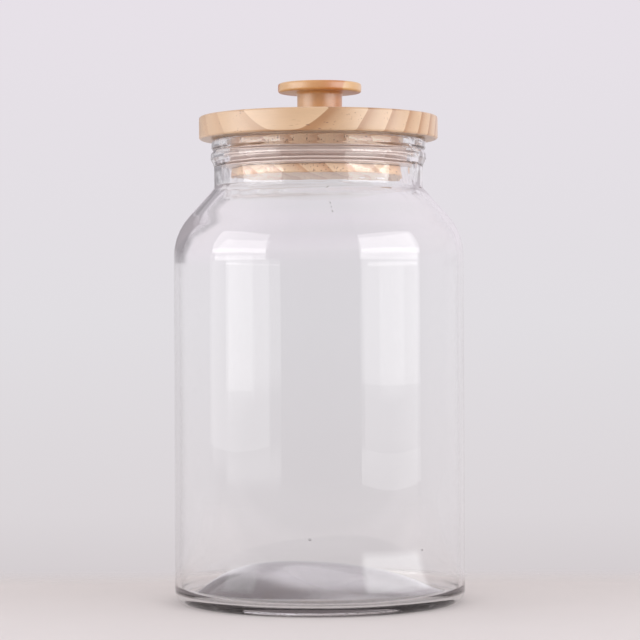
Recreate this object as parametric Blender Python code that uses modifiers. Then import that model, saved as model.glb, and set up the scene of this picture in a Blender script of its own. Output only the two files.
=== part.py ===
# Glass storage jar with a turned wooden lid.
# A blown glass body carries a lid of two wooden boards and a knob, with a finned silicone seal in a groove.
# Metres, +Z up. The origin is the centre of the ring that the jar stands on.

import math

import bpy

# Glass body
GLASS_HEIGHT = 0.2463
BODY_RADIUS = 0.0775
BODY_WALL = 0.0029
HEEL_ROUND = 0.0065
SHOULDER_ROUND = 0.032
SHOULDER_WALL = 0.0048
SHOULDER_ANGLE = math.radians(42.0)
INNER_HEEL_ROUND = 0.006
BORE_ROUND = 0.008

# Pushed-up bottom and the ring that the jar stands on
BEARING_RING_WIDTH = 0.005
BEARING_RING_ROUND = 0.0012
PUSH_UP = 0.012
BOTTOM_THICKNESS = 0.006
FLOOR_CROWN = 0.0108

# Neck and its two rings
NECK_RADIUS = 0.0558
NECK_LENGTH = 0.0256
NECK_WALL = 0.004
NECK_ROUND = 0.004
LIP_PROUD = 0.0015
LIP_DEPTH = 0.0044
LIP_OUTER_ROUND = 0.0018
LIP_INNER_ROUND = 0.0016
WAIST_PROUD = 0.0005
WAIST_DEPTH = 0.0059
BEAD_PROUD = 0.0018
BEAD_TOP_DEPTH = 0.0077
BEAD_DEPTH = 0.0101
BEAD_FOOT_DEPTH = 0.0139
RING_ROUND = 0.001

# Clearances
FIT_GAP = 0.0003
CUT_OVERRUN = 0.001

# Lid disc, which overhangs the neck
DISC_OVERHANG = 0.008
DISC_THICKNESS = 0.0121
DISC_TOP_ROUND = 0.0012
DISC_LOWER_ROUND = 0.0012

# Lid plug and the groove for the seal, which fills the gap between the plug and the bore
PLUG_TO_BORE_GAP = 0.006
PLUG_HEIGHT = 0.0199
PLUG_ROUND = 0.001
GROOVE_TOP_DEPTH = 0.0053
GROOVE_DEPTH = 0.002

# Finned seal
SEAL_HEIGHT = 0.0093
SEAL_HOOP_THICKNESS = 0.0033
FIN_COUNT = 4
FIN_ROOT_THICKNESS = 0.0013
FIN_TIP_THICKNESS = 0.0008
FIN_LIFT = 0.0005

# Knob
KNOB_HEIGHT = 0.0176
KNOB_HEAD_RADIUS = 0.0223
KNOB_HEAD_THICKNESS = 0.005
KNOB_HEAD_ROUND = 0.0013
KNOB_STEM_RADIUS = 0.012
KNOB_STEM_ROUND = 0.0016
KNOB_FOOT_ROUND = 0.0004

# Countersunk screw that holds the knob
SCREW_LENGTH = 0.022
SCREW_RADIUS = 0.002
SCREW_HEAD_RADIUS = 0.004
SCREW_HEAD_EDGE = 0.0004
SCREW_HEAD_HEIGHT = 0.0024
SCREW_POINT = 0.004
SCREW_POINT_RADIUS = 0.0003
DRIVE_LENGTH = 0.004
DRIVE_WIDTH = 0.0009
DRIVE_DEPTH = 0.0014

# Facets
MERGE_DISTANCE = 0.00002
GLASS_STEPS = 64
DISC_STEPS = 60
PLUG_STEPS = 48
SEAL_STEPS = 48
KNOB_STEPS = 36
SCREW_STEPS = 20
DOME_STEPS = 6
SHOULDER_FACETS = 6
INNER_SHOULDER_FACETS = 5
HEEL_FACETS = 5
LIP_FACETS = 3
NECK_FACETS = 3
RING_FACETS = 2
WOOD_FACETS = 4
STEM_FACETS = 3

# Places that follow from the sizes above
BORE_RADIUS = NECK_RADIUS - NECK_WALL
INNER_BODY_RADIUS = BODY_RADIUS - BODY_WALL
DISC_RADIUS = NECK_RADIUS + DISC_OVERHANG
DISC_SEAT = GLASS_HEIGHT + FIT_GAP
PLUG_RADIUS = BORE_RADIUS - PLUG_TO_BORE_GAP
GROOVE_RADIUS = PLUG_RADIUS - GROOVE_DEPTH
GROOVE_HEIGHT = SEAL_HEIGHT + 2 * FIT_GAP


def remove_old_objects():
    for old in list(bpy.data.objects):
        bpy.data.objects.remove(old, do_unlink=True)


def make_collection(name):
    collection = bpy.data.collections.new(name)
    bpy.context.scene.collection.children.link(collection)
    return collection


def make_material(name, colour, roughness, metallic=0.0, transmission=0.0, ior=1.5):
    material = bpy.data.materials.new(name)
    material.use_nodes = True
    shader = material.node_tree.nodes["Principled BSDF"]
    shader.inputs["Base Color"].default_value = (*colour, 1.0)
    shader.inputs["Roughness"].default_value = roughness
    shader.inputs["Metallic"].default_value = metallic
    shader.inputs["Transmission Weight"].default_value = transmission
    shader.inputs["IOR"].default_value = ior
    return material


def rounded_corner(before, corner, after, rounding, facets):
    # Arc that is tangent to both sides of a corner, from the side before it to the side after it
    to_before = (before[0] - corner[0], before[1] - corner[1])
    to_after = (after[0] - corner[0], after[1] - corner[1])
    before_length = math.hypot(*to_before)
    after_length = math.hypot(*to_after)
    before_way = (to_before[0] / before_length, to_before[1] / before_length)
    after_way = (to_after[0] / after_length, to_after[1] / after_length)
    opening = math.acos(before_way[0] * after_way[0] + before_way[1] * after_way[1])
    tangent = rounding / math.tan(opening / 2)
    middle = (before_way[0] + after_way[0], before_way[1] + after_way[1])
    middle_length = math.hypot(*middle)
    reach = rounding / math.sin(opening / 2)
    centre = (corner[0] + reach * middle[0] / middle_length, corner[1] + reach * middle[1] / middle_length)
    start = (corner[0] + tangent * before_way[0], corner[1] + tangent * before_way[1])
    end = (corner[0] + tangent * after_way[0], corner[1] + tangent * after_way[1])
    start_angle = math.atan2(start[1] - centre[1], start[0] - centre[0])
    end_angle = math.atan2(end[1] - centre[1], end[0] - centre[0])
    sweep = math.remainder(end_angle - start_angle, math.tau)
    points = []
    for step in range(facets + 1):
        angle = start_angle + sweep * step / facets
        points.append((centre[0] + rounding * math.cos(angle), centre[1] + rounding * math.sin(angle)))
    return points


def rounded_profile(corners):
    # A sharp corner is a radius and a height, and a rounded one adds its rounding and that rounding's facets
    points = []
    for index, corner in enumerate(corners):
        if len(corner) == 2:
            points.append(corner)
            continue
        radius, height, rounding, facets = corner
        before = corners[index - 1][:2]
        after = corners[(index + 1) % len(corners)][:2]
        points += rounded_corner(before, (radius, height), after, rounding, facets)
    return points


def domed_corners(centre_height, edge_radius, edge_height, steps):
    # Corners along a shallow dome, from its centre to just short of its edge
    crown = centre_height - edge_height
    dome_radius = (edge_radius**2 + crown**2) / (2 * crown)
    corners = []
    for step in range(steps):
        radius = edge_radius * step / steps
        height = centre_height - dome_radius + math.sqrt(dome_radius**2 - radius**2)
        corners.append((radius, height))
    return corners


def turned_piece(name, profile, steps, material, collection, parent, height, closed=False):
    # The profile is turned about the piece's own Z axis, and the piece stands at a height above its parent
    mesh = bpy.data.meshes.new(name)
    vertices = [(radius, 0.0, z) for radius, z in profile]
    edges = [(index, index + 1) for index in range(len(profile) - 1)]
    if closed:
        edges.append((len(profile) - 1, 0))
    mesh.from_pydata(vertices, edges, [])
    mesh.materials.append(material)
    piece = bpy.data.objects.new(name, mesh)
    collection.objects.link(piece)
    piece.parent = parent
    piece.location = (0, 0, height)
    screw = piece.modifiers.new("Turning", "SCREW")
    screw.axis = "Z"
    screw.angle = math.tau
    screw.steps = steps
    screw.render_steps = steps
    screw.use_smooth_shade = True
    screw.use_merge_vertices = True
    screw.merge_threshold = MERGE_DISTANCE
    return piece


def cut(piece, cutter):
    difference = piece.modifiers.new("Cut", "BOOLEAN")
    difference.operation = "DIFFERENCE"
    difference.solver = "EXACT"
    difference.object = cutter


def make_glass_jar(collection, parent):
    neck_bottom = GLASS_HEIGHT - NECK_LENGTH
    slope = 1 / math.tan(SHOULDER_ANGLE)
    shoulder_corner = neck_bottom - (BODY_RADIUS - NECK_RADIUS) * slope
    outer_to_inner = (BODY_WALL * math.cos(SHOULDER_ANGLE) - SHOULDER_WALL) / math.sin(SHOULDER_ANGLE)
    inner_shoulder_corner = shoulder_corner + outer_to_inner
    bore_bottom = inner_shoulder_corner + (INNER_BODY_RADIUS - BORE_RADIUS) * slope
    inner_shoulder_round = SHOULDER_ROUND - SHOULDER_WALL
    floor_centre = PUSH_UP + BOTTOM_THICKNESS
    floor_edge = floor_centre - FLOOR_CROWN
    bearing_inner_radius = BODY_RADIUS - HEEL_ROUND - BEARING_RING_WIDTH
    inside = domed_corners(floor_centre, INNER_BODY_RADIUS, floor_edge, DOME_STEPS) + [
        (INNER_BODY_RADIUS, floor_edge, INNER_HEEL_ROUND, HEEL_FACETS),
        (INNER_BODY_RADIUS, inner_shoulder_corner, inner_shoulder_round, INNER_SHOULDER_FACETS),
        (BORE_RADIUS, bore_bottom, BORE_ROUND, NECK_FACETS),
        (BORE_RADIUS, GLASS_HEIGHT, LIP_INNER_ROUND, LIP_FACETS),
    ]
    outside = [
        (NECK_RADIUS + LIP_PROUD, GLASS_HEIGHT, LIP_OUTER_ROUND, LIP_FACETS),
        (NECK_RADIUS + LIP_PROUD, GLASS_HEIGHT - LIP_DEPTH, RING_ROUND, RING_FACETS),
        (NECK_RADIUS + WAIST_PROUD, GLASS_HEIGHT - WAIST_DEPTH, RING_ROUND, RING_FACETS),
        (NECK_RADIUS + BEAD_PROUD, GLASS_HEIGHT - BEAD_TOP_DEPTH, RING_ROUND, RING_FACETS),
        (NECK_RADIUS + BEAD_PROUD, GLASS_HEIGHT - BEAD_DEPTH, RING_ROUND, RING_FACETS),
        (NECK_RADIUS, GLASS_HEIGHT - BEAD_FOOT_DEPTH, NECK_ROUND, RING_FACETS),
        (NECK_RADIUS, neck_bottom, NECK_ROUND, NECK_FACETS),
        (BODY_RADIUS, shoulder_corner, SHOULDER_ROUND, SHOULDER_FACETS),
        (BODY_RADIUS, 0, HEEL_ROUND, HEEL_FACETS),
        (bearing_inner_radius, 0, BEARING_RING_ROUND, RING_FACETS),
    ]
    underside = domed_corners(PUSH_UP, bearing_inner_radius, 0, DOME_STEPS)
    profile = rounded_profile(inside + outside + underside[::-1])
    glass = make_material("clear_glass", (0.86, 0.88, 0.88), 0.02, transmission=1.0, ior=1.52)
    return turned_piece("glass_jar", profile, GLASS_STEPS, glass, collection, parent, 0)


def make_lid_disc(collection, parent):
    # The hole for the screw is countersunk from below
    hole_radius = SCREW_RADIUS + FIT_GAP
    sink_radius = SCREW_HEAD_RADIUS + FIT_GAP
    sink_edge = SCREW_HEAD_EDGE + FIT_GAP
    sink_height = SCREW_HEAD_HEIGHT + FIT_GAP
    profile = rounded_profile(
        [
            (hole_radius, DISC_THICKNESS),
            (DISC_RADIUS, DISC_THICKNESS, DISC_TOP_ROUND, WOOD_FACETS),
            (DISC_RADIUS, 0, DISC_LOWER_ROUND, WOOD_FACETS),
            (sink_radius, 0),
            (sink_radius, sink_edge),
            (hole_radius, sink_height),
        ]
    )
    wood = make_material("pine_disc", (0.72, 0.52, 0.35), 0.55)
    return turned_piece("lid_disc", profile, DISC_STEPS, wood, collection, parent, 0, closed=True)


def make_lid_plug(collection, parent):
    groove_top = PLUG_HEIGHT - GROOVE_TOP_DEPTH
    groove_bottom = groove_top - GROOVE_HEIGHT
    profile = rounded_profile(
        [
            (0, PLUG_HEIGHT),
            (PLUG_RADIUS, PLUG_HEIGHT),
            (PLUG_RADIUS, groove_top),
            (GROOVE_RADIUS, groove_top),
            (GROOVE_RADIUS, groove_bottom),
            (PLUG_RADIUS, groove_bottom),
            (PLUG_RADIUS, 0, PLUG_ROUND, WOOD_FACETS),
            (0, 0),
        ]
    )
    wood = make_material("pine_plug", (0.66, 0.47, 0.33), 0.6)
    plug_bottom = -FIT_GAP - PLUG_HEIGHT
    return turned_piece("lid_plug", profile, PLUG_STEPS, wood, collection, parent, plug_bottom)


def make_seal_ring(collection, parent):
    # A hoop in the plug's groove, with a stack of thin fins that reach the bore of the neck
    hoop_inner_radius = GROOVE_RADIUS + FIT_GAP
    hoop_outer_radius = hoop_inner_radius + SEAL_HOOP_THICKNESS
    fin_radius = BORE_RADIUS - FIT_GAP
    pitch = (SEAL_HEIGHT - FIN_ROOT_THICKNESS - FIN_LIFT) / (FIN_COUNT - 1)
    profile = [(hoop_inner_radius, SEAL_HEIGHT), (hoop_outer_radius, SEAL_HEIGHT)]
    for fin in reversed(range(FIN_COUNT)):
        root = fin * pitch
        root_top = root + FIN_ROOT_THICKNESS
        tip = root + FIN_LIFT + (FIN_ROOT_THICKNESS - FIN_TIP_THICKNESS) / 2
        tip_top = tip + FIN_TIP_THICKNESS
        profile += [
            (hoop_outer_radius, root_top),
            (fin_radius, tip_top),
            (fin_radius, tip),
            (hoop_outer_radius, root),
        ]
    profile.append((hoop_inner_radius, 0))
    silicone = make_material("silicone", (0.78, 0.76, 0.74), 0.35, transmission=0.4, ior=1.41)
    bottom = -FIT_GAP - GROOVE_TOP_DEPTH - FIT_GAP - SEAL_HEIGHT
    return turned_piece("seal_ring", profile, SEAL_STEPS, silicone, collection, parent, bottom, closed=True)


def make_knob(collection, parent):
    head_underside = KNOB_HEIGHT - KNOB_HEAD_THICKNESS
    pilot_radius = SCREW_RADIUS + FIT_GAP
    screw_top = SCREW_LENGTH - DISC_THICKNESS - FIT_GAP
    pilot_depth = screw_top + FIT_GAP
    profile = rounded_profile(
        [
            (0, KNOB_HEIGHT),
            (KNOB_HEAD_RADIUS, KNOB_HEIGHT, KNOB_HEAD_ROUND, WOOD_FACETS),
            (KNOB_HEAD_RADIUS, head_underside, KNOB_HEAD_ROUND, WOOD_FACETS),
            (KNOB_STEM_RADIUS, head_underside, KNOB_STEM_ROUND, STEM_FACETS),
            (KNOB_STEM_RADIUS, 0, KNOB_FOOT_ROUND, RING_FACETS),
            (pilot_radius, 0),
            (pilot_radius, pilot_depth),
            (0, pilot_depth),
        ]
    )
    wood = make_material("pine_knob", (0.74, 0.5, 0.28), 0.5)
    knob_foot = DISC_THICKNESS + FIT_GAP
    return turned_piece("knob", profile, KNOB_STEPS, wood, collection, parent, knob_foot)


def make_drive_cutter(angle, collection, parent):
    # One bar of the cross recess in the screw's head, which opens downwards
    bpy.ops.mesh.primitive_cube_add(size=1)
    bar = bpy.context.object
    bar.name = "drive_bar"
    height = DRIVE_DEPTH + CUT_OVERRUN
    for vertex in bar.data.vertices:
        vertex.co.x *= DRIVE_LENGTH
        vertex.co.y *= DRIVE_WIDTH
        vertex.co.z *= height
    for home in list(bar.users_collection):
        home.objects.unlink(bar)
    collection.objects.link(bar)
    bar.parent = parent
    bar.location = (0, 0, DRIVE_DEPTH - height / 2)
    bar.rotation_euler = (0, 0, angle)
    bar.hide_render = True
    bar.display_type = "WIRE"
    return bar


def make_knob_screw(collection, cutters, parent):
    shank_top = SCREW_LENGTH - SCREW_POINT
    profile = [
        (0, SCREW_LENGTH),
        (SCREW_POINT_RADIUS, SCREW_LENGTH),
        (SCREW_RADIUS, shank_top),
        (SCREW_RADIUS, SCREW_HEAD_HEIGHT),
        (SCREW_HEAD_RADIUS, SCREW_HEAD_EDGE),
        (SCREW_HEAD_RADIUS, 0),
        (0, 0),
    ]
    steel = make_material("screw_steel", (0.56, 0.56, 0.55), 0.3, metallic=1.0)
    screw = turned_piece("knob_screw", profile, SCREW_STEPS, steel, collection, parent, 0)
    for angle in (0, math.pi / 2):
        cut(screw, make_drive_cutter(angle, cutters, parent))
    return screw


def make_axis(name, collection, parent, height):
    empty = bpy.data.objects.new(name, None)
    empty.empty_display_size = BODY_RADIUS
    collection.objects.link(empty)
    empty.parent = parent
    empty.location = (0, 0, height)
    return empty


remove_old_objects()
jar_collection = make_collection("glass_storage_jar")
cutter_collection = make_collection("cutters")
foot = make_axis("jar_foot", jar_collection, None, 0)
lift = make_axis("lid_lift_axis", jar_collection, foot, DISC_SEAT)
turn = make_axis("lid_turn_axis", jar_collection, lift, 0)
make_glass_jar(jar_collection, foot)
make_seal_ring(jar_collection, lift)
make_lid_disc(jar_collection, turn)
make_lid_plug(jar_collection, turn)
make_knob(jar_collection, turn)
make_knob_screw(jar_collection, cutter_collection, turn)
bpy.context.view_layer.update()
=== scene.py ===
import math

import bpy
import bmesh
from mathutils import Matrix, Vector, noise


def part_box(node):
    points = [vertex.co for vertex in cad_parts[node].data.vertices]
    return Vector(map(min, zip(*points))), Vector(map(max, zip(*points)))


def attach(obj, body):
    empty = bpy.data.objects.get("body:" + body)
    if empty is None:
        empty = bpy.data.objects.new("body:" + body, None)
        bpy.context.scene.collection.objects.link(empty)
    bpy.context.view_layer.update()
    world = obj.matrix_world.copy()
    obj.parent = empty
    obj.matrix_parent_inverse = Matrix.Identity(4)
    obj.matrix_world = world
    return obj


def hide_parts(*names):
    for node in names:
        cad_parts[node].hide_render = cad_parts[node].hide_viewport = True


# Clear glass storage jar with a two-board pine lid, a pine knob and a finned silicone seal.
# Lengths are in millimetres and angles in degrees. +Z is up, and the jar stands with its axis on Z.

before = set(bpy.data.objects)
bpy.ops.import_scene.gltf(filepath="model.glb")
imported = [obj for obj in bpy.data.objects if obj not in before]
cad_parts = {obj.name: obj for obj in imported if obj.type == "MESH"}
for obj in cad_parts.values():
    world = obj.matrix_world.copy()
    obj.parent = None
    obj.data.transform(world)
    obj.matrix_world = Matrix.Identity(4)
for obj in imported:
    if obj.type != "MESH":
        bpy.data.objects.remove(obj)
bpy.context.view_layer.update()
print("frame loaded:", ", ".join(sorted(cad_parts)))

mm = 0.001
degree = math.pi / 180


# Helpers for materials

def toLinear(hexColour):
    channels = []
    for start in (1, 3, 5):
        share = int(hexColour[start:start + 2], 16) / 255
        channels.append(share / 12.92 if share <= 0.04045 else ((share + 0.055) / 1.055) ** 2.4)
    return (*channels, 1.0)


def addNode(tree, kind, settings=None, links=None):
    # A setting is a property of the node, an input's name or number, or the stops of a colour ramp
    node = tree.nodes.new("ShaderNode" + kind)
    for name, value in (settings or {}).items():
        if name == "stops":
            while len(node.color_ramp.elements) < len(value):
                node.color_ramp.elements.new(0.5)
            for element, (position, colour) in zip(node.color_ramp.elements, value):
                element.position = position
                element.color = colour
        elif isinstance(name, int) or not hasattr(node, name):
            node.inputs[name].default_value = value
        else:
            setattr(node, name, value)
    for name, source in (links or {}).items():
        if isinstance(source, bpy.types.Node):      # a node stands for its first output in use
            source = next(output for output in source.outputs if output.enabled)
        tree.links.new(source, node.inputs[name])
    return node


def newMaterial(name):
    material = bpy.data.materials.new(name)
    material.use_nodes = True
    material.node_tree.nodes.clear()
    return material, material.node_tree


def placeObject(name, data):
    placed = bpy.data.objects.new(name, data)
    bpy.context.scene.collection.objects.link(placed)
    return placed


# Helpers for turned shapes

def roundCorner(before, corner, after, rounding, arcStep):
    # Points on the arc that rounds a corner
    before, corner, after = Vector(before), Vector(corner), Vector(after)
    toBefore = (before - corner).normalized()
    toAfter = (after - corner).normalized()
    opening = toBefore.angle(toAfter)
    start = corner + toBefore * rounding / math.tan(opening / 2)
    end = corner + toAfter * rounding / math.tan(opening / 2)
    centre = corner + (toBefore + toAfter).normalized() * rounding / math.sin(opening / 2)
    startAngle = math.atan2(start.y - centre.y, start.x - centre.x)
    sweep = math.remainder(math.atan2(end.y - centre.y, end.x - centre.x) - startAngle, math.tau)
    steps = max(2, math.ceil(abs(sweep) / (arcStep * degree)))
    points = []
    for step in range(steps + 1):
        angle = startAngle + sweep * step / steps
        points.append((centre.x + rounding * math.cos(angle), centre.y + rounding * math.sin(angle)))
    return points


def roundedProfile(corners, arcStep=9, longest=2.5):
    # A corner is a radius and a height, and a third number rounds it. Long straights get points between
    # their ends, so that smooth shading stays level on them.
    points = []
    for index, corner in enumerate(corners):
        if len(corner) == 2:
            points.append(corner)
        else:
            before = corners[index - 1][:2]
            after = corners[(index + 1) % len(corners)][:2]
            points += roundCorner(before, corner[:2], after, corner[2], arcStep)
    split = []
    for (radius, height), following in zip(points, points[1:]):
        parts = max(1, math.ceil(math.dist((radius, height), following) / longest))
        for part in range(parts):
            share = part / parts
            split.append((radius + (following[0] - radius) * share, height + (following[1] - height) * share))
    return split + [points[-1]]


def turnedPiece(name, profile, segments, material, closed=False, shape=None, sharpAngle=40):
    # The profile is turned round the Z axis. A closed one joins its last point to its first, and shape
    # moves each point. Edges sharper than sharpAngle stay sharp.
    vertices, rings, faces = [], [], []
    for index, (radius, height) in enumerate(profile):
        count = 1 if radius < 0.001 else segments       # a point on the axis is one vertex
        rings.append(range(len(vertices), len(vertices) + count))
        for step in range(count):
            angle = math.tau * step / segments
            point = Vector((radius * math.cos(angle), radius * math.sin(angle), height))
            vertices.append((shape(point, index) if shape else point) * mm)
    following = rings[1:] + rings[:1] if closed else rings[1:]
    for ring, below in zip(rings, following):
        for step in range(segments):
            onward = (step + 1) % segments
            corners = [
                ring[step % len(ring)],
                below[step % len(below)],
                below[onward % len(below)],
                ring[onward % len(ring)],
            ]
            faces.append(list(dict.fromkeys(corners)))
    mesh = bpy.data.meshes.new(name)
    mesh.from_pydata(vertices, [], faces)
    mesh.materials.append(material)
    mesh.shade_smooth()
    mesh.set_sharp_from_angle(angle=sharpAngle * degree)
    return placeObject(name, mesh)


def smoothStep(value, low, high):
    share = min(1, max(0, (value - low) / (high - low)))
    return share * share * (3 - 2 * share)


# Glass body

jar = {
    "bodyWall": 2.9,
    "shoulderWall": 4.8,
    "shoulderAngle": 42,        # from upright
    "shoulderRound": 32,
    "neckRadius": 55.8,
    "neckWall": 4,
    "neckLength": 25.6,
    "neckRound": 4,
    "boreRound": 8,
    "mouthRound": 1.6,
    "lipAndBead": [             # out from the neck, down from the rim, and rounding
        (1.5, 0, 1.8),
        (1.5, 4.4, 1),
        (0.5, 5.9, 1),
        (1.8, 7.7, 1),
        (1.8, 10.1, 1),
        (0, 13.9, 4),
    ],
    "heelRound": 6.5,
    "innerHeelRound": 5,
    "bearingWidth": 5,          # of the ring that the jar stands on
    "bearingRound": 1.2,
    "pushUp": 13.8,             # height of the pushed-up bottom
    "pushUpShift": -8,          # its top is left of the middle
    "pushUpPower": 2.0,
    "floorEdge": 4.8,           # height of the level edge of the floor, inside
    "domeHeight": 15.5,         # the dome of the floor over that edge
    "domeShift": -20,           # its top is further left
    "domePower": 2.5,
    "floorSteps": 40,
    "segments": 320,
    "sharpAngle": 80,
    "waves": {                  # height, length, scale upwards (below 1 draws them out), place in the noise
        "inner": (0.16, 42, 0.45, 0),
        "ripple": (0.02, 11, 0.3, 70),
        "outer": (0.035, 60, 0.5, 300),
        "neckInside": (0.18, 6, 1, 40),
        "neckOutside": (0.18, 6, 1, 0),
        "rim": (0.28, 3.2, 1, 0),
        "dome": (0.3, 26, 1, 9),
    },
    "waveStart": (6, 24),       # heights between which the waves begin
    "domeWaveStart": (0, 0.3),  # the same, as shares of the dome's height
    "neckStart": (34, 24),      # depths under the rim between which the neck's own waves begin
    "rimStart": (1.2, 0.2),     # and those of the rim
    "rightUneven": 1.5,         # the neck is least even on the right
    "rightStart": (0.7, 0.95),
    "thinning": 0.85,           # how much thinner than the mould's own shape the shoulder was blown
    "thinningLean": 0.95,       # how much more of that there is on the right, and less on the left
    "thinStart": (65, 41),      # depths under the rim between which the thinning begins
    "thinEnd": (32, 24),        # and ends
    "seeds": [                  # bubbles and marks in the front wall: x, height, length, width, tilt
        (-5.0, 39.6, 1.6, 1.1, 20),
        (51.8, 32.3, 1.1, 0.9, 0),
        (4.6, 217.5, 2.2, 0.45, -40),
        (5.8, 209.0, 1.4, 0.5, 70),
        (6.4, 206.8, 1.0, 0.5, -60),
        (6.9, 204.6, 1.5, 0.5, 60),
    ],
    "seedSegments": (20, 12),
    "glass": {
        "ior": 1.52,
        "underRoughness": 0.12,         # the mould leaves the pushed-up bottom slightly matt
        "stippleSpacing": 1.8,
        "stippleHeight": 0.25,
        "stippleStrength": 0.8,
        "stippleDot": (0.3, 0.08),      # edge and middle of a dot, as shares of the spacing
        "stippleStart": (3.4, 1.4),     # heights between which the stipple begins, downwards
        "edgeBlend": 0.25,
        "letThrough": [(0.0, "#f9f9f9"), (0.75, "#f4f4f4"), (1.0, "#cccccc")],      # flat on to edge on
        "baseShade": 0.65,              # what each face of the thick bottom lets down to the floor
        "baseShadeStart": (9, 3),
        "absorbed": 0.8,                # light lost in a metre of glass, as a power of e
        "absorptionTint": (0.08, 0, 0, 1),      # a little less of it in red
        "guidedAfter": 2.5,             # number of reflections inside the wall
        "guidedLight": "#c2bebe",
    },
}


def blownGlassMaterial(name, roughness):
    # Soda-lime glass, blown in a mould and fire-polished: clear, very faintly grey, with bright sharp
    # reflections. Underneath, the mould leaves it slightly matt, with stipple marks round the heel.
    look = jar["glass"]
    material, tree = newMaterial(name)
    place = addNode(tree, "TexCoord").outputs["Object"]
    height = addNode(tree, "SeparateXYZ", links={0: place}).outputs["Z"]
    start, full = look["stippleStart"]
    onRing = addNode(tree, "MapRange", {"From Min": start * mm, "From Max": full * mm}, {"Value": height})
    stipple = addNode(tree, "TexVoronoi", {"Scale": 1 / (look["stippleSpacing"] * mm)}, {"Vector": place})
    edge, middle = look["stippleDot"]
    dots = addNode(tree, "MapRange", {"From Min": edge, "From Max": middle}, {"Value": stipple})
    raised = addNode(tree, "Math", {"operation": "MULTIPLY"}, {0: dots, 1: onRing})
    relief = addNode(tree, "Bump", {
        "Strength": look["stippleStrength"],
        "Distance": look["stippleHeight"] * mm,
    }, {"Height": raised})
    glass = addNode(tree, "BsdfPrincipled", {
        "Base Color": (1, 1, 1, 1),
        "Roughness": roughness,
        "IOR": look["ior"],
        "Transmission Weight": 1.0,
    }, {"Normal": relief})
    # Lamps and soft light pass through the wall, a little less where it is seen edge on
    facing = addNode(tree, "LayerWeight", {"Blend": look["edgeBlend"]}).outputs["Facing"]
    stops = [(position, toLinear(colour)) for position, colour in look["letThrough"]]
    tint = addNode(tree, "ValToRGB", {"stops": stops}, {"Fac": facing})
    start, full = look["baseShadeStart"]
    inBase = addNode(tree, "MapRange", {
        "From Min": full * mm,
        "From Max": start * mm,
        "To Min": look["baseShade"],
        "To Max": 1.0,
    }, {"Value": height})
    dimmed = addNode(tree, "VectorMath", {"operation": "SCALE"}, {0: tint, "Scale": inBase})
    through = addNode(tree, "BsdfTransparent", links={"Color": dimmed})
    rays = addNode(tree, "LightPath").outputs
    forLamps = addNode(tree, "MixShader", links={0: rays["Is Shadow Ray"], 1: glass, 2: through})
    forSoftLight = addNode(tree, "MixShader", links={0: rays["Is Diffuse Ray"], 1: forLamps, 2: through})
    # Light that a wall has guided to and fro comes out grey, and goes straight on
    guided = addNode(tree, "BsdfTransparent", {"Color": toLinear(look["guidedLight"])})
    turns = {"operation": "GREATER_THAN", 1: look["guidedAfter"]}
    deep = addNode(tree, "Math", turns, {0: rays["Glossy Depth"]})
    forGuided = addNode(tree, "MixShader", links={0: deep, 1: forSoftLight, 2: guided})
    # The thin wall stays clear, and the thick bottom, which light crosses lengthwise, turns grey
    absorption = {"Color": look["absorptionTint"], "Density": look["absorbed"]}
    depth = addNode(tree, "VolumeAbsorption", absorption)
    addNode(tree, "OutputMaterial", links={"Surface": forGuided, "Volume": depth})
    return material


def insideBearing(bodyRadius):
    return bodyRadius - jar["heelRound"] - jar["bearingWidth"]


def jarProfile(rim, bodyRadius):
    # From the middle of the floor up the inside, over the rim, down the outside and back underneath
    slope = 1 / math.tan(jar["shoulderAngle"] * degree)
    lean = math.cos(jar["shoulderAngle"] * degree)
    rise = math.sin(jar["shoulderAngle"] * degree)
    innerRadius = bodyRadius - jar["bodyWall"]
    neckRadius = jar["neckRadius"]
    bore = neckRadius - jar["neckWall"]
    neckBottom = rim - jar["neckLength"]
    shoulder = neckBottom - (bodyRadius - neckRadius) * slope
    innerShoulder = shoulder + (jar["bodyWall"] * lean - jar["shoulderWall"]) / rise
    boreBottom = innerShoulder + (innerRadius - bore) * slope
    floorEdge = jar["floorEdge"]
    bearing = insideBearing(bodyRadius)
    steps = jar["floorSteps"]
    floor = [(bearing * step / steps, floorEdge) for step in range(steps + 1)]
    inside = [
        (innerRadius, floorEdge, jar["innerHeelRound"]),
        (innerRadius, innerShoulder, jar["shoulderRound"] - jar["shoulderWall"]),
        (bore, boreBottom, jar["boreRound"]),
        (bore, rim, jar["mouthRound"]),
    ]
    finish = [(neckRadius + out, rim - down, rounding) for out, down, rounding in jar["lipAndBead"]]
    outside = [
        (neckRadius, neckBottom, jar["neckRound"]),
        (bodyRadius, shoulder, jar["shoulderRound"]),
        (bodyRadius, 0, jar["heelRound"]),
        (bearing, 0, jar["bearingRound"]),
    ]
    under = [(bearing * (steps - 1 - step) / steps, 0) for step in range(steps)]
    return roundedProfile(floor + inside + finish + outside + under)


def swell(wave, x, y, z):
    # How far one of the jar's waves moves the surface at a point
    height, length, scaleUp, start = jar["waves"][wave]
    return height * noise.noise(Vector((x, y, z * scaleUp + start)) / length)


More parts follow.
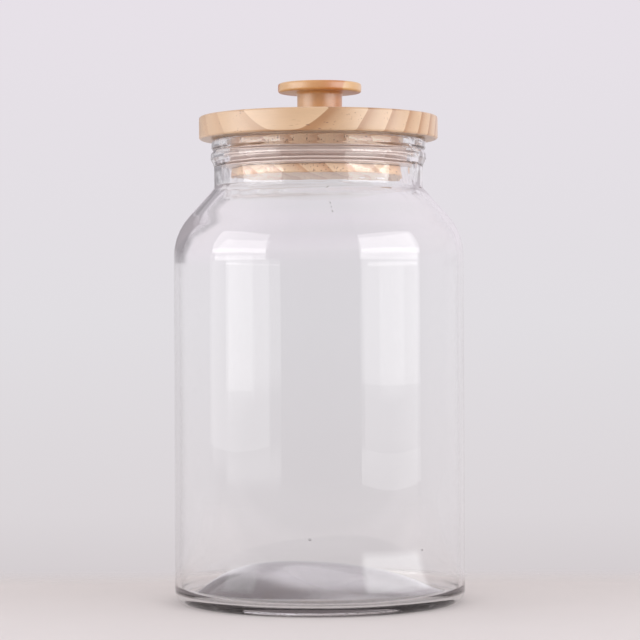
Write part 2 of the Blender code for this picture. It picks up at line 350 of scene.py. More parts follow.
def shapeJar(profile, rim, bodyRadius):
    # Gives the moulded profile its domed floor, its pushed-up bottom and the slow waves of blown glass
    rimIndex = max(range(len(profile)), key=lambda index: profile[index][1])
    bearing = insideBearing(bodyRadius)
    flank = jar["shoulderAngle"] * degree

    def domeShare(x, y, apex, power):
        # 1 at the dome's top, which is off the middle, and 0 on the round edge of the dome
        fromApex = Vector((x - apex, y))
        if fromApex.length < 0.01:          # the top itself has no direction
            return 1
        outward = fromApex.normalized()
        along = apex * outward.x
        toEdge = math.sqrt(along ** 2 + bearing ** 2 - apex ** 2) - along
        return max(0, 1 - (fromApex.length / toEdge) ** power)

    def underRim(z, zone):
        # 0 below the first depth of a zone under the rim, and 1 above the second
        first, second = jar[zone]
        return smoothStep(z, rim - first, rim - second)

    def shape(point, index):
        x, y, z = point
        reach = math.hypot(x, y)
        inside = index < rimIndex
        if reach < bearing and z < jar["floorEdge"] + 1:
            if inside:
                share = domeShare(x, y, jar["domeShift"], jar["domePower"])
                z += jar["domeHeight"] * share
                z += smoothStep(share, *jar["domeWaveStart"]) * swell("dome", x / 2, y, 0)
            else:
                z += jar["pushUp"] * domeShare(x, y, jar["pushUpShift"], jar["pushUpPower"])
        if reach < 1:                       # nor has the middle
            return Vector((x, y, z))
        outward = Vector((x / reach, y / reach, 0))
        toRight = x / reach
        if inside:
            wave = swell("inner", x, y, z) + swell("ripple", x, y, z)
        else:
            wave = swell("outer", x, y, z)
        neckWave = swell("neckInside" if inside else "neckOutside", x, y, z)
        uneven = 1 + jar["rightUneven"] * smoothStep(toRight, *jar["rightStart"])
        wave += underRim(z, "neckStart") * uneven * neckWave
        onWall = smoothStep(z, *jar["waveStart"])
        if inside:
            thinner = underRim(z, "thinStart") * (1 - underRim(z, "thinEnd"))
            thinner *= jar["thinning"] + jar["thinningLean"] * toRight
            wave += thinner * math.cos(flank)
            z += thinner * math.sin(flank)
        deepest = jar["waves"]["rim"][0]
        dip = underRim(z, "rimStart") * (deepest + swell("rim", x, y, z)) / 2
        return Vector((x, y, z - dip)) + outward * wave * onWall

    return shape


def wallMiddle(height, rim, bodyRadius):
    # Radius halfway through the wall at a height on the body or the shoulder
    flank = jar["shoulderAngle"] * degree
    neckBottom = rim - jar["neckLength"]
    outside = jar["neckRadius"] + (neckBottom - height) * math.tan(flank)
    return min(bodyRadius - jar["bodyWall"] / 2, outside - jar["shoulderWall"] / 2 / math.cos(flank))


def addSeeds(mesh, rim, bodyRadius):
    # Each seed is a closed hollow in the middle of the wall, so its faces point into it
    around, upward = jar["seedSegments"]
    seeds = bmesh.new()
    for x, height, length, width, tilt in jar["seeds"]:
        y = -math.sqrt(wallMiddle(height, rim, bodyRadius) ** 2 - x ** 2)
        turn = Matrix.Rotation(math.atan2(x, -y), 4, "Z") @ Matrix.Rotation(tilt * degree, 4, "Y")
        size = Matrix.Diagonal((length / 2 * mm, width / 2 * mm, width / 2 * mm, 1))
        place = Matrix.Translation(Vector((x, y, height)) * mm) @ turn @ size
        bmesh.ops.create_uvsphere(seeds, u_segments=around, v_segments=upward, radius=1, matrix=place)
    for face in seeds.faces:
        face.smooth = True
    bmesh.ops.reverse_faces(seeds, faces=seeds.faces)
    seedMesh = bpy.data.meshes.new("seeds")
    seeds.to_mesh(seedMesh)
    seeds.free()
    both = bmesh.new()
    both.from_mesh(mesh)
    both.from_mesh(seedMesh)
    both.to_mesh(mesh)
    both.free()
    bpy.data.meshes.remove(seedMesh)


def makeJar():
    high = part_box("glass_jar")[1]
    rim, bodyRadius = high.z / mm, high.x / mm
    profile = jarProfile(rim, bodyRadius)
    glass = blownGlassMaterial("soda_lime_glass_blown", 0.0)
    shape = shapeJar(profile, rim, bodyRadius)
    sharpAngle = jar["sharpAngle"]
    piece = turnedPiece("glass_body", profile, jar["segments"], glass, shape=shape, sharpAngle=sharpAngle)
    addSeeds(piece.data, rim, bodyRadius)
    underRoughness = jar["glass"]["underRoughness"]
    piece.data.materials.append(blownGlassMaterial("soda_lime_glass_stippled", underRoughness))
    bearing = insideBearing(bodyRadius)
    for face in piece.data.polygons:        # the faces under the pushed-up bottom
        middle = face.center / mm
        if face.normal.z < -0.05 and middle.z < jar["pushUp"] + 1 and middle.xy.length < bearing:
            face.material_index = 1
    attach(piece, "jar")
    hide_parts("glass_jar")
    print("glass body made,", len(piece.data.polygons), "faces")


makeJar()


# Pine boards and knob

pine = {                        # what the three wooden pieces share
    "fibre": (25, 0.625),       # length along the grain and width across it
    "cloud": (62.5, 6.25),
    "sway": (83.3, 33.3),
    "canalLength": 8.33,
    "canalDot": (0.26, 0.12),   # edge and middle of a canal, as shares of the spacing
    "canalColour": "#a5806a",
    "canalGroupEdge": 0.15,
    "ringStages": [             # share of a ring's width, and how brown it is there
        (0.0, 0.0),
        (0.2, 0.14),
        (0.48, 0.3),
        (0.74, 0.62),
        (0.87, 0.95),
        (0.985, 1.0),
        (1.0, 0.0),
    ],
    "ringChance": 0.05,         # how much lighter or darker than the others a ring may be
    "noiseRange": (0.3, 0.7),   # most of a noise lies between these
    "reliefHeight": 0.06,
    "reliefStrength": 0.25,
    "roughness": (0.38, 0.5),
    "wax": {
        "Specular IOR Level": 1.0,
        "Coat Weight": 1.0,
        "Coat IOR": 1.6,
        "Coat Roughness": 0.36,
    },
    "touching": 0.02,           # gap between wooden pieces that touch
}


def patternScale(length, width):
    # For a place in millimetres: marks of this length along the grain and this width across it
    return (1 / length, 1 / width, 1 / width)


def pineMaterial(name, look, middle):
    # Radiata pine, turned, sanded smooth and waxed: wide pale earlywood that darkens slowly to a thin
    # brown latewood line, then starts again. Fine fibres run along the grain, with short resin canals.
    # The wax gives a soft pale sheen on the sides that face the lamps.
    material, tree = newMaterial(name)
    objectPlace = addNode(tree, "TexCoord").outputs["Object"]
    place = addNode(tree, "VectorMath", {"operation": "SUBTRACT", 1: (0, 0, middle * mm)}, {0: objectPlace})

    # Place in the board's own millimetres: along the grain, out through the rings, and across
    turn = look["growthTurn"] * degree
    tilt = look["growthTilt"] * degree
    grain = Vector((math.cos(turn), math.sin(turn), 0))
    outward = Vector((math.sin(turn) * math.cos(tilt), -math.cos(turn) * math.cos(tilt), math.sin(tilt)))
    board = {}
    for axis, direction in (("X", grain), ("Y", outward), ("Z", grain.cross(outward))):
        toDirection = {"operation": "DOT_PRODUCT", 1: tuple(direction / mm)}
        board[axis] = addNode(tree, "VectorMath", toDirection, {0: place}).outputs["Value"]
    inBoard = addNode(tree, "CombineXYZ", links=board)

    # The rings are arcs round the pith that sway a little along the board
    slow = addNode(tree, "Mapping", {"Scale": patternScale(*pine["sway"])}, {"Vector": inBoard})
    slowNoise = addNode(tree, "TexNoise", {"Scale": 1.0, "Detail": 2.0}, {"Vector": slow})
    sway = addNode(tree, "MapRange", {"To Min": -look["sway"], "To Max": look["sway"]}, {"Value": slowNoise})
    square = addNode(tree, "Math", {"operation": "MULTIPLY"}, {0: board["Z"], 1: board["Z"]})
    bend = addNode(tree, "Math", {"operation": "MULTIPLY", 1: 1 / (2 * look["pithAway"])}, {0: square})
    curved = addNode(tree, "Math", {"operation": "ADD"}, {0: board["Y"], 1: bend})
    swayed = addNode(tree, "Math", {"operation": "ADD"}, {0: curved, 1: sway})
    fromStart = addNode(tree, "Math", {"operation": "SUBTRACT", 1: look["boundary"]}, {0: swayed})
    phase = addNode(tree, "Math", {"operation": "DIVIDE", 1: look["ringWidth"]}, {0: fromStart})
    share = addNode(tree, "Math", {"operation": "FRACT"}, {0: phase})
    ringNumber = addNode(tree, "Math", {"operation": "FLOOR"}, {0: phase})
    ringChance = addNode(tree, "TexWhiteNoise", {"noise_dimensions": "1D"}, {"W": ringNumber})
    stops = [(position, (tone, tone, tone, 1)) for position, tone in pine["ringStages"]]
    lateness = addNode(tree, "ValToRGB", {"stops": stops}, {"Fac": share})
    contrast = addNode(tree, "MapRange", {
        "From Min": -look["leftFade"],
        "From Max": 0.0,
        "To Min": look["leftContrast"],
        "To Max": 1.0,
    }, {"Value": board["X"]})
    lateShare = addNode(tree, "Math", {"operation": "MULTIPLY"}, {0: lateness, 1: contrast})
    woods = {"data_type": "RGBA", 6: toLinear(look["earlywood"]), 7: toLinear(look["latewood"])}
    ring = addNode(tree, "Mix", woods, {0: lateShare})

    # Fine fibres, drawn far wider than real ones so that they show, and a broader cloudiness
    fibrePlace = addNode(tree, "Mapping", {"Scale": patternScale(*pine["fibre"])}, {"Vector": inBoard})
    fineNoise = {"Scale": 1.0, "Detail": 3.0, "Roughness": 0.6}
    fibres = addNode(tree, "TexNoise", fineNoise, {"Vector": fibrePlace})
    cloudPlace = addNode(tree, "Mapping", {"Scale": patternScale(*pine["cloud"])}, {"Vector": inBoard})
    clouds = addNode(tree, "TexNoise", {"Scale": 1.0, "Detail": 2.0}, {"Vector": cloudPlace})
    chance = {"To Min": 1 - pine["ringChance"], "To Max": 1 + pine["ringChance"]}
    tone = addNode(tree, "MapRange", chance, {"Value": ringChance})
    low, high = pine["noiseRange"]
    for pattern, strength in ((fibres, look["fibres"]), (clouds, look["clouds"])):
        around = {"From Min": low, "From Max": high, "To Min": 1 - strength, "To Max": 1 + strength}
        patternTone = addNode(tree, "MapRange", around, {"Value": pattern})
        tone = addNode(tree, "Math", {"operation": "MULTIPLY"}, {0: tone, 1: patternTone})
    toned = addNode(tree, "VectorMath", {"operation": "SCALE"}, {0: ring, "Scale": tone})

    # Resin canals: thin brown dashes along the grain, which are dots in the end grain. They come in
    # groups, and are drawn coarser than real ones so that they show.
    canalScale = patternScale(pine["canalLength"], look["canalSpacing"])
    canalPlace = addNode(tree, "Mapping", {"Scale": canalScale}, {"Vector": inBoard})
    canalCells = addNode(tree, "TexVoronoi", {"Scale": 1.0}, {"Vector": canalPlace})
    edge, dotMiddle = pine["canalDot"]
    canalDots = addNode(tree, "MapRange", {"From Min": edge, "From Max": dotMiddle}, {"Value": canalCells})
    canalGroups = addNode(tree, "TexNoise", {"Scale": 1.0, "Detail": 1.0}, {"Vector": cloudPlace})
    canalMask = addNode(tree, "MapRange", {
        "From Min": look["canalGroups"],
        "From Max": look["canalGroups"] + pine["canalGroupEdge"],
    }, {"Value": canalGroups})
    canals = addNode(tree, "Math", {"operation": "MULTIPLY"}, {0: canalDots, 1: canalMask})
    canalShare = addNode(tree, "Math", {"operation": "MULTIPLY", 1: look["canals"]}, {0: canals})
    darkened = {"data_type": "RGBA", "blend_type": "MULTIPLY", 7: toLinear(pine["canalColour"])}
    colour = addNode(tree, "Mix", darkened, {0: canalShare, 6: toned})

    relief = addNode(tree, "Bump", {
        "Strength": pine["reliefStrength"],
        "Distance": pine["reliefHeight"] * mm,
    }, {"Height": fibres})
    smoothest, roughest = pine["roughness"]
    roughness = addNode(tree, "MapRange", {"To Min": smoothest, "To Max": roughest}, {"Value": fibres})
    surface = {"Base Color": colour, "Roughness": roughness, "Normal": relief}
    wood = addNode(tree, "BsdfPrincipled", pine["wax"], surface)
    addNode(tree, "OutputMaterial", links={"Surface": wood})
    return material


disc = {
    "edgeRound": 1.2,
    "screwHole": 2.3,
    "sinkRadius": 4.3,          # countersink for the screw's head
    "sinkEdge": 0.7,
    "sinkHeight": 2.7,
    "segments": 240,
    "wood": {
        "growthTurn": -16,      # the rings grow outwards to the front, a little to the left, and up
        "growthTilt": 22,
        "pithAway": 600,
        "ringWidth": 9.8,
        "boundary": 57.6,       # where one of the rings ends, out from the middle of the board
        "sway": 0.5,
        "leftFade": 30,         # the rings fade over this length, from the middle to the left
        "leftContrast": 0.35,
        "earlywood": "#d0ab84",
        "latewood": "#a8733f",
        "fibres": 0.03,         # strength of each pattern
        "clouds": 0.04,
        "canals": 1.0,
        "canalSpacing": 1.1,
        "canalGroups": 0.46,    # the higher, the fewer groups
    },
}


def makeDisc():
    low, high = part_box("lid_disc")
    bottom, top, radius = low.z / mm, high.z / mm, high.x / mm
    profile = roundedProfile([
        (disc["screwHole"], top),
        (radius, top, disc["edgeRound"]),
        (radius, bottom, disc["edgeRound"]),
        (disc["sinkRadius"], bottom),
        (disc["sinkRadius"], bottom + disc["sinkEdge"]),
        (disc["screwHole"], bottom + disc["sinkHeight"]),
    ])
    wood = pineMaterial("pine_disc_waxed", disc["wood"], (bottom + top) / 2)
    piece = turnedPiece("disc_board", profile, disc["segments"], wood, closed=True)
    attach(piece, "lid")
    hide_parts("lid_disc")
    return bottom, top


plug = {
    "edgeRound": 1.0,
    "grooveTop": 5.3,
    "grooveDepth": 2,
    "grooveHeight": 9.9,
    "segments": 200,
    "wood": {
        "growthTurn": 80,       # its end grain faces the front, and the rings grow to the right and up
        "growthTilt": 50,
        "pithAway": 180,
        "ringWidth": 8.5,
        "boundary": 3,
        "sway": 1.2,
        "leftFade": 60,
        "leftContrast": 1.0,
        "earlywood": "#efcba4",
        "latewood": "#d49e70",
        "fibres": 0.1,
        "clouds": 0.05,
        "canals": 1.6,
        "canalSpacing": 1.5,
        "canalGroups": 0.3,
    },
}


def makePlug(discBottom):
    # The boards are glued, so the plug's top reaches the disc
    low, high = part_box("lid_plug")
    bottom, top, radius = low.z / mm, high.z / mm, high.x / mm
    glued = discBottom - pine["touching"]
    grooveTop = top - plug["grooveTop"]
    grooveBottom = grooveTop - plug["grooveHeight"]
    groove = radius - plug["grooveDepth"]
    profile = roundedProfile([
        (0, glued),
        (radius, glued),
        (radius, grooveTop),
        (groove, grooveTop),
        (groove, grooveBottom),
        (radius, grooveBottom),
        (radius, bottom, plug["edgeRound"]),
        (0, bottom),
    ])
    wood = pineMaterial("pine_plug_waxed", plug["wood"], (bottom + top) / 2)
    piece = turnedPiece("plug_board", profile, plug["segments"], wood)
    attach(piece, "lid")
    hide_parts("lid_plug")


knob = {
    "headThickness": 5,
    "headRound": 1.3,
    "stemRadius": 12,
    "stemRound": 1.6,
    "footRound": 0.4,
    "pilotRadius": 2.3,
    "pilotDepth": 9.9,
    "offCentre": 0.8,           # screwed on a little to the right
    "segments": 160,
    "wood": {
        "growthTurn": 60,
        "growthTilt": -20,
        "pithAway": 90,
        "ringWidth": 34,
        "boundary": 18.3,
        "sway": 1.0,
        "leftFade": 60,
        "leftContrast": 1.0,
        "earlywood": "#d2a468",
        "latewood": "#c2752c",
        "fibres": 0.03,
        "clouds": 0.05,
        "canals": 0.5,
        "canalSpacing": 0.8,
        "canalGroups": 0.5,
    },
}


def makeKnob(discTop):
    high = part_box("knob")[1]
    top, radius = high.z / mm, high.x / mm
    foot = discTop + pine["touching"]
    underHead = top - knob["headThickness"]
    profile = roundedProfile([
        (0, top),
        (radius, top, knob["headRound"]),
        (radius, underHead, knob["headRound"]),
        (knob["stemRadius"], underHead, knob["stemRound"]),
        (knob["stemRadius"], foot, knob["footRound"]),
        (knob["pilotRadius"], foot),
        (knob["pilotRadius"], foot + knob["pilotDepth"]),
        (0, foot + knob["pilotDepth"]),
    ])
    wood = pineMaterial("pine_knob_waxed", knob["wood"], (foot + top) / 2)
    aside = Vector((knob["offCentre"], 0, 0))

    def shape(point, index):
        return point + aside

    piece = turnedPiece("mushroom_knob", profile, knob["segments"], wood, shape=shape)
    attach(piece, "lid")
    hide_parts("knob")


discBottom, discTop = makeDisc()
makePlug(discBottom)
makeKnob(discTop)
print("pine lid made: disc, plug and knob")


# Silicone seal

seal = {
    "depth": 7.4,               # from the inside of the hoop to the tips of the fins
    "hoopThickness": 3.3,
    "finCount": 4,
    "finRoot": 1.3,
    "finTip": 0.8,
    "finLift": 0.5,
    "tipRound": 0.3,
    "segments": 200,
    "silicone": ("#efdcd4", "#e6d0c6"),
    "cloudSize": 9,
    "skinGrain": 0.7,           # coarser than the mould's real grain, so that it shows
    "skinHeight": 0.03,
    "skinStrength": 0.15,
}


def mouldedSiliconeMaterial():
    # Silicone rubber, moulded: milky and half see-through, with a soft satin gloss
    material, tree = newMaterial("silicone_moulded")
    place = addNode(tree, "TexCoord").outputs["Object"]
    cloudScale = 1 / (seal["cloudSize"] * mm)
    clouds = addNode(tree, "TexNoise", {"Scale": cloudScale, "Detail": 2.0}, {"Vector": place})
    paler, darker = [toLinear(colour) for colour in seal["silicone"]]
    colour = addNode(tree, "Mix", {"data_type": "RGBA", 6: paler, 7: darker}, {0: clouds})
    skinScale = 1 / (seal["skinGrain"] * mm)
    skin = addNode(tree, "TexNoise", {"Scale": skinScale, "Detail": 2.0}, {"Vector": place})
    relief = addNode(tree, "Bump", {
        "Strength": seal["skinStrength"],
        "Distance": seal["skinHeight"] * mm,
    }, {"Height": skin})
    rubber = addNode(tree, "BsdfPrincipled", {
        "Roughness": 0.3,
        "IOR": 1.41,
        "Specular IOR Level": 0.8,
        "Coat Weight": 0.6,
        "Coat Roughness": 0.2,
        "Transmission Weight": 0.1,
    }, {"Base Color": colour, "Normal": relief})
    addNode(tree, "OutputMaterial", links={"Surface": rubber})
    return material


def makeSeal():
    # A hoop with a stack of fins, whose tips are a little higher than their roots
    low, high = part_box("seal_ring")
    bottom, top, finRadius = low.z / mm, high.z / mm, high.x / mm
    hoopInside = finRadius - seal["depth"]
    hoop = hoopInside + seal["hoopThickness"]
    pitch = (top - bottom - seal["finRoot"] - seal["finLift"]) / (seal["finCount"] - 1)
    corners = [(hoopInside, top), (hoop, top)]
    for fin in reversed(range(seal["finCount"])):
        root = bottom + fin * pitch
        tip = root + seal["finLift"] + (seal["finRoot"] - seal["finTip"]) / 2
        corners += [
            (hoop, root + seal["finRoot"]),
            (finRadius, tip + seal["finTip"], seal["tipRound"]),
            (finRadius, tip, seal["tipRound"]),
            (hoop, root),
        ]
    corners.append((hoopInside, bottom))
    silicone = mouldedSiliconeMaterial()
    piece = turnedPiece("finned_seal", roundedProfile(corners), seal["segments"], silicone, closed=True)
    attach(piece, "seal")
    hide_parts("seal_ring")


makeSeal()
print("silicone seal made")


# Screw

screw = {
    "zinc": ("#c4c6c8", "#a9acb0"),
    "spangleSize": 1.5,
    "roughness": (0.22, 0.36),
}


def zincMaterial():
    # Steel with bright zinc plating: a pale grey metal, slightly cloudy
    material, tree = newMaterial("steel_zinc_plated")
    place = addNode(tree, "TexCoord").outputs["Object"]
    scale = 1 / (screw["spangleSize"] * mm)
    spangle = addNode(tree, "TexNoise", {"Scale": scale, "Detail": 3.0}, {"Vector": place})
    paler, darker = [toLinear(colour) for colour in screw["zinc"]]
    colour = addNode(tree, "Mix", {"data_type": "RGBA", 6: paler, 7: darker}, {0: spangle})
    smoothest, roughest = screw["roughness"]
    roughness = addNode(tree, "MapRange", {"To Min": smoothest, "To Max": roughest}, {"Value": spangle})
    steel = addNode(tree, "BsdfPrincipled", {"Metallic": 1.0}, {"Base Color": colour, "Roughness": roughness})
    addNode(tree, "OutputMaterial", links={"Surface": steel})
    return material


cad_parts["knob_screw"].data.materials.clear()
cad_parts["knob_screw"].data.materials.append(zincMaterial())
print("screw plated")


# Floor, wall and light

studio = {
    "floorReach": 1600,
    "floorColour": "#dad2d3",
    "paperShadeBehind": "#d6cdcd",       # painted shade: the paper drawn darker behind the jar, where the lamps' light falls off
    "behindStart": (-120, 60),      # and the places, front to back, between which that begins
    "reflectedFrontShade": "#a39e9e",        # painted shade on the paper in front of the jar, outside the picture, seen only in reflections
    "frontStart": (-190, -300),
    "mottle": 0.05,
    "mottleSize": 71.43,
    "fade": (75, 165),              # behind the jar the paper fades out between these places
    "farFade": (500, 950),          # and on all sides between these distances
    "paintedSheens": [                     # painted reflections of the softboxes on the paper: from and to angle, near and far edge, and brightness
        (30, 77, 165, 420, 2.6),
        (-66, -43, 165, 330, 1.5),
    ],
    "paintedSheenBlur": (2, 12, 60),       # of the sides, the near edge and the far edge
    "wall": [                       # sine of the angle over the horizon, and the colour there
        (-0.19, "#dfd6d7"),
        (-0.13, "#cdc6c8"),
        (-0.08056, "#dbd6d9"),
        (0.0, "#e1dee2"),
        (0.13, "#e7e1e8"),
    ],
    "screen": (-45, -12, 2.5, 22),  # a grey screen behind at the left: two angles and two elevations
    "screenTone": 0.42,
    "screenBlur": 1.5,
    "rightTone": 1.1,               # the wall at the right, outside the picture
    "rightStart": (0.156, 0.342),   # sines of the angles to the right between which it begins
    "frontTone": 0.42,              # the studio behind the camera, against the wall
    "wallFrontStart": (0.2, -0.5),  # and where that begins, from back to front
    "fill": (1.0, 0.75),            # light from the horizon and from straight above
    "imageBlur": 0.3,               # of the softboxes' images in the glass
}


def frontAngle(tree, across):
    # Angle round the jar from straight in front, positive to the right
    forwards = addNode(tree, "Math", {"operation": "MULTIPLY", 1: -1}, {0: across["Y"]})
    return addNode(tree, "Math", {"operation": "ARCTAN2"}, {0: across["X"], 1: forwards})


def softPatch(tree, edges, share=None):
    # 1 inside all the edges and 0 outside any of them, times a share. Each edge is the value that it
    # watches, where that is still outside, and where it is inside.
    for value, outside, inside in edges:
        edge = addNode(tree, "MapRange", {"From Min": outside, "From Max": inside}, {"Value": value})
        share = addNode(tree, "Math", {"operation": "MULTIPLY"}, {0: share, 1: edge}) if share else edge
    return share


def skyPatch(tree, angle, upward, corners, blur, share=None):
    # A patch of the world between two angles round the jar and two elevations, with soft edges
    left, right, bottom, top = [corner * degree for corner in corners]
    soft = blur * degree
    edges = [
        (angle, left - soft, left + soft),
        (angle, right + soft, right - soft),
        (upward, math.sin(bottom - soft), math.sin(bottom + soft)),
        (upward, math.sin(top + soft), math.sin(top - soft)),
    ]
    return softPatch(tree, edges, share)


def makeFloor():
    # Matt studio paper, with a faint mottle. Behind the jar, where the paper rises to the wall, it fades out.
    reach = studio["floorReach"] * mm
    corners = [(-reach, -reach, 0), (reach, -reach, 0), (reach, reach, 0), (-reach, reach, 0)]
    mesh = bpy.data.meshes.new("paper_floor")
    mesh.from_pydata(corners, [], [(0, 1, 2, 3)])
    material, tree = newMaterial("studio_paper_matt")
    place = addNode(tree, "TexCoord").outputs["Object"]
    across = addNode(tree, "SeparateXYZ", links={0: place}).outputs
    away = addNode(tree, "VectorMath", {"operation": "LENGTH"}, {0: place}).outputs["Value"]
    rays = addNode(tree, "LightPath").outputs

    # Painted shade: behind the jar the paper is drawn darker, where the lamps' light falls off
    start, full = studio["behindStart"]
    behind = softPatch(tree, [(across["Y"], start * mm, full * mm)])
    papers = {"data_type": "RGBA", 6: toLinear(studio["floorColour"]), 7: toLinear(studio["paperShadeBehind"])}
    plain = addNode(tree, "Mix", papers, {0: behind})
    # Painted shade: in reflections only, the paper in front of the jar is drawn darker
    reflected = addNode(tree, "Math", {"operation": "GREATER_THAN", 1: 0.5}, {0: rays["Glossy Depth"]})
    start, full = studio["frontStart"]
    inFront = softPatch(tree, [(across["Y"], start * mm, full * mm)], reflected)
    darker = {"data_type": "RGBA", 7: toLinear(studio["reflectedFrontShade"])}
    plain = addNode(tree, "Mix", darker, {0: inFront, 6: plain})
    mottleScale = 1 / (studio["mottleSize"] * mm)
    mottle = addNode(tree, "TexNoise", {"Scale": mottleScale, "Detail": 4.0}, {"Vector": place})
    mottleTone = addNode(tree, "MapRange", {"To Min": 1.0, "To Max": 1 - studio["mottle"]}, {"Value": mottle})
    colour = addNode(tree, "VectorMath", {"operation": "SCALE"}, {0: plain, "Scale": mottleTone})
    matt = {"Roughness": 0.9, "Specular IOR Level": 0.1}
    paper = addNode(tree, "BsdfPrincipled", matt, {"Base Color": colour})

    fades = []
    for value, (start, full) in ((across["Y"], studio["fade"]), (away, studio["farFade"])):
        smooth = {"interpolation_type": "SMOOTHSTEP", "From Min": start * mm, "From Max": full * mm}
        fades.append(addNode(tree, "MapRange", smooth, {"Value": value}))
    fade = addNode(tree, "Math", {"operation": "MAXIMUM"}, {0: fades[0], 1: fades[1]})
    clear = addNode(tree, "BsdfTransparent")
    shown = addNode(tree, "MixShader", links={0: fade, 1: paper, 2: clear})

    # Painted reflections of the softboxes: at a low angle patches of the paper glow for glossy rays only, and
    # the foot of the jar shows that
    angle = frontAngle(tree, across)
    onFront = addNode(tree, "Math", {"operation": "LESS_THAN", 1: 2.5}, {0: rays["Transmission Depth"]})
    gloss = addNode(tree, "Math", {"operation": "MULTIPLY"}, {0: rays["Is Glossy Ray"], 1: onFront})
    sideBlur, nearBlur, farBlur = studio["paintedSheenBlur"]
    for left, right, near, far, brightness in studio["paintedSheens"]:
        edges = [
            (angle, (left - sideBlur) * degree, (left + sideBlur) * degree),
            (angle, (right + sideBlur) * degree, (right - sideBlur) * degree),
            (away, near * mm, (near + nearBlur) * mm),
            (away, far * mm, (far - farBlur) * mm),
        ]
        glow = addNode(tree, "Emission", {"Strength": brightness})
        shown = addNode(tree, "MixShader", links={0: softPatch(tree, edges, gloss), 1: shown, 2: glow})
    addNode(tree, "OutputMaterial", links={"Surface": shown})
    mesh.materials.append(material)
    floor = placeObject("paper_floor", mesh)


# A softbox is an upright panel that faces the jar: its angle from the front (positive to the right),
# distance, width, lower and upper edge, and brightness, where 1 is white
softboxes = {
    "softbox_left": (-63, 950, 400, 88, 262, 0.7),
    "softbox_left_diffuser": (-65, 960, 980, 34, 262, 0.72),
    "softbox_left_top": (-65, 940, 850, 262, 800, 2.3),
    "softbox_left_band": (-65, 935, 850, 272, 330, 1.8),
    "softbox_right": (57.5, 950, 900, 92, 262, 1.08),
    "softbox_right_band": (57.5, 935, 900, 272, 330, 2.2),
    "softbox_right_top": (57.5, 940, 900, 262, 800, 2.5),
    "softbox_right_foot": (57.5, 940, 900, 2, 92, 0.35),
    "softbox_right_floor_strip": (57.5, 930, 900, 2, 34, 0.6),
}

mirror = {                          # the front of the glass, in which the camera sees the softboxes
    "radius": 72,
    "facing": 0.8,                  # how far towards a softbox the mirroring place lies, of the radius
    "toCamera": 1200,
    "cameraHeight": 149,
    "highest": 215,                 # no reflection lies higher on the jar
    "rounds": 12,
}


def mirroredBox(side, away, width, bottom, top):
    # The angles and elevations at which the front of the body mirrors a softbox
    radius = mirror["radius"]
    corners = []
    for lateral in (-width / 2, width / 2):
        angle = side
        for attempt in range(mirror["rounds"]):     # each round comes nearer to the true angle
            onBody = (angle / 2 - side) * degree
            reach = away - radius * math.cos(onBody)
            angle = side + math.atan2(lateral - radius * math.sin(onBody), reach) / degree
        corners.append(angle)
    reach = away - radius * mirror["facing"]
    share = reach / mirror["toCamera"]
    for height in (bottom, top):
        onBody = min(mirror["highest"], (height + share * mirror["cameraHeight"]) / (1 + share))
        corners.append(math.atan2(height - onBody, reach) / degree)
    return corners


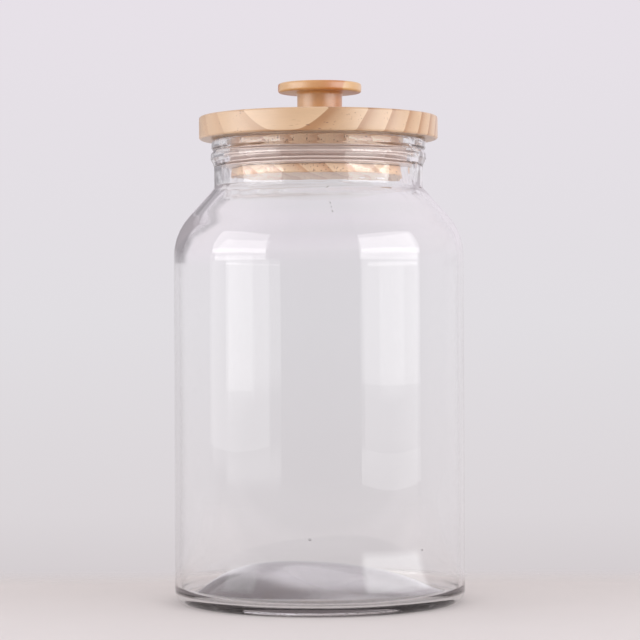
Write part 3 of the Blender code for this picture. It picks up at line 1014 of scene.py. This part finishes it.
def makeWall():
    # The pale wall is what the camera, gloss and glass see, and a plain fill lights the rest
    world = bpy.data.worlds.new("studio_wall")
    bpy.context.scene.world = world
    world.use_nodes = True
    tree = world.node_tree
    tree.nodes.clear()
    direction = addNode(tree, "TexCoord").outputs["Generated"]
    across = addNode(tree, "SeparateXYZ", links={0: direction}).outputs
    rays = addNode(tree, "LightPath").outputs
    lowest, highest = studio["wall"][0][0], studio["wall"][-1][0]
    height = addNode(tree, "MapRange", {"From Min": lowest, "From Max": highest}, {"Value": across["Z"]})
    stops = [((sine - lowest) / (highest - lowest), toLinear(colour)) for sine, colour in studio["wall"]]
    wall = addNode(tree, "ValToRGB", {"stops": stops}, {"Fac": height})
    seen = addNode(tree, "Math", {"operation": "ADD"}, {0: rays["Is Camera Ray"], 1: rays["Is Glossy Ray"]})
    clamped = {"operation": "ADD", "use_clamp": True}
    seen = addNode(tree, "Math", clamped, {0: seen, 1: rays["Is Transmission Ray"]})

    backAngle = addNode(tree, "Math", {"operation": "ARCTAN2"}, {0: across["X"], 1: across["Y"]})
    screen = skyPatch(tree, backAngle, across["Z"], studio["screen"], studio["screenBlur"])
    reflected = addNode(tree, "Math", {"operation": "GREATER_THAN", 1: 0.5}, {0: rays["Glossy Depth"]})
    frontShare = softPatch(tree, [(across["Y"], *studio["wallFrontStart"])], reflected)
    rightShare = softPatch(tree, [(across["X"], *studio["rightStart"])])
    tones = {"screenTone": screen, "frontTone": frontShare, "rightTone": rightShare}
    shade = None
    for tone, share in tones.items():
        toned = addNode(tree, "MapRange", {"To Min": 1.0, "To Max": studio[tone]}, {"Value": share})
        shade = addNode(tree, "Math", {"operation": "MULTIPLY"}, {0: shade, 1: toned}) if shade else toned
    wallLight = addNode(tree, "Background", links={"Color": wall, "Strength": shade})

    # The inner faces of the glass mirror the softboxes, which can't be seen straight through the glass.
    # The depths count a ray's reflections and the surfaces that it has passed.
    onFront = addNode(tree, "Math", {"operation": "LESS_THAN", 1: 2.5}, {0: rays["Transmission Depth"]})
    once = addNode(tree, "Math", {"operation": "LESS_THAN", 1: 1.5}, {0: rays["Glossy Depth"]})
    simple = addNode(tree, "Math", {"operation": "MAXIMUM"}, {0: onFront, 1: once})
    inGlass = addNode(tree, "Math", {"operation": "MULTIPLY"}, {0: simple, 1: rays["Is Transmission Ray"]})
    inGlass = addNode(tree, "Math", {"operation": "MULTIPLY"}, {0: inGlass, 1: reflected})
    angle = frontAngle(tree, across)
    boxLight = None
    for *panel, brightness in softboxes.values():
        glow = addNode(tree, "Math", {"operation": "MULTIPLY", 1: brightness}, {0: inGlass})
        image = skyPatch(tree, angle, across["Z"], mirroredBox(*panel), studio["imageBlur"], glow)
        boxLight = addNode(tree, "Math", {"operation": "ADD"}, {0: boxLight, 1: image}) if boxLight else image
    boxes = addNode(tree, "Background", links={"Strength": boxLight})
    wallLight = addNode(tree, "AddShader", links={0: wallLight, 1: boxes})

    level, above = studio["fill"]
    fill = addNode(tree, "MapRange", {"To Min": level, "To Max": above}, {"Value": across["Z"]})
    fillLight = addNode(tree, "Background", {"Color": (1, 1, 1, 1)}, {"Strength": fill})
    either = addNode(tree, "MixShader", links={0: seen, 1: fillLight, 2: wallLight})
    addNode(tree, "OutputWorld", links={"Surface": either})


def makeSoftbox(name, side, away, width, bottom, top, brightness):
    light = bpy.data.lights.new(name, "AREA")
    light.shape = "RECTANGLE"
    light.size = width * mm
    light.size_y = (top - bottom) * mm
    light.energy = brightness * math.pi * light.size * light.size_y
    lamp = placeObject(name, light)
    turn = side * degree
    lamp.location = Vector((math.sin(turn) * away, -math.cos(turn) * away, (top + bottom) / 2)) * mm
    lamp.rotation_euler = (90 * degree, 0, turn)
    lamp.visible_camera = False
    lamp.visible_transmission = False


makeFloor()
makeWall()
for name, settings in softboxes.items():
    makeSoftbox(name, *settings)
print("floor, wall and softboxes set")


# Camera, fitted to the photograph's outlines

view = {
    "place": (0.5, -1267, 149.4),
    "pitch": 0.035,
    "roll": 0.223,
    "focalPixels": 2367,
    "pictureWidth": 640,
    "sensorWidth": 36,
    "nearest": 50,
    "furthest": 20000,
}


def makeCamera():
    data = bpy.data.cameras.new("camera")
    data.sensor_width = view["sensorWidth"]
    data.lens = view["focalPixels"] / view["pictureWidth"] * data.sensor_width
    data.clip_start = view["nearest"] * mm
    data.clip_end = view["furthest"] * mm
    camera = placeObject("camera", data)
    camera.location = Vector(view["place"]) * mm
    camera.rotation_euler = ((90 + view["pitch"]) * degree, view["roll"] * degree, 0)
    bpy.context.scene.camera = camera


makeCamera()
bpy.context.scene.view_settings.view_transform = "Standard"
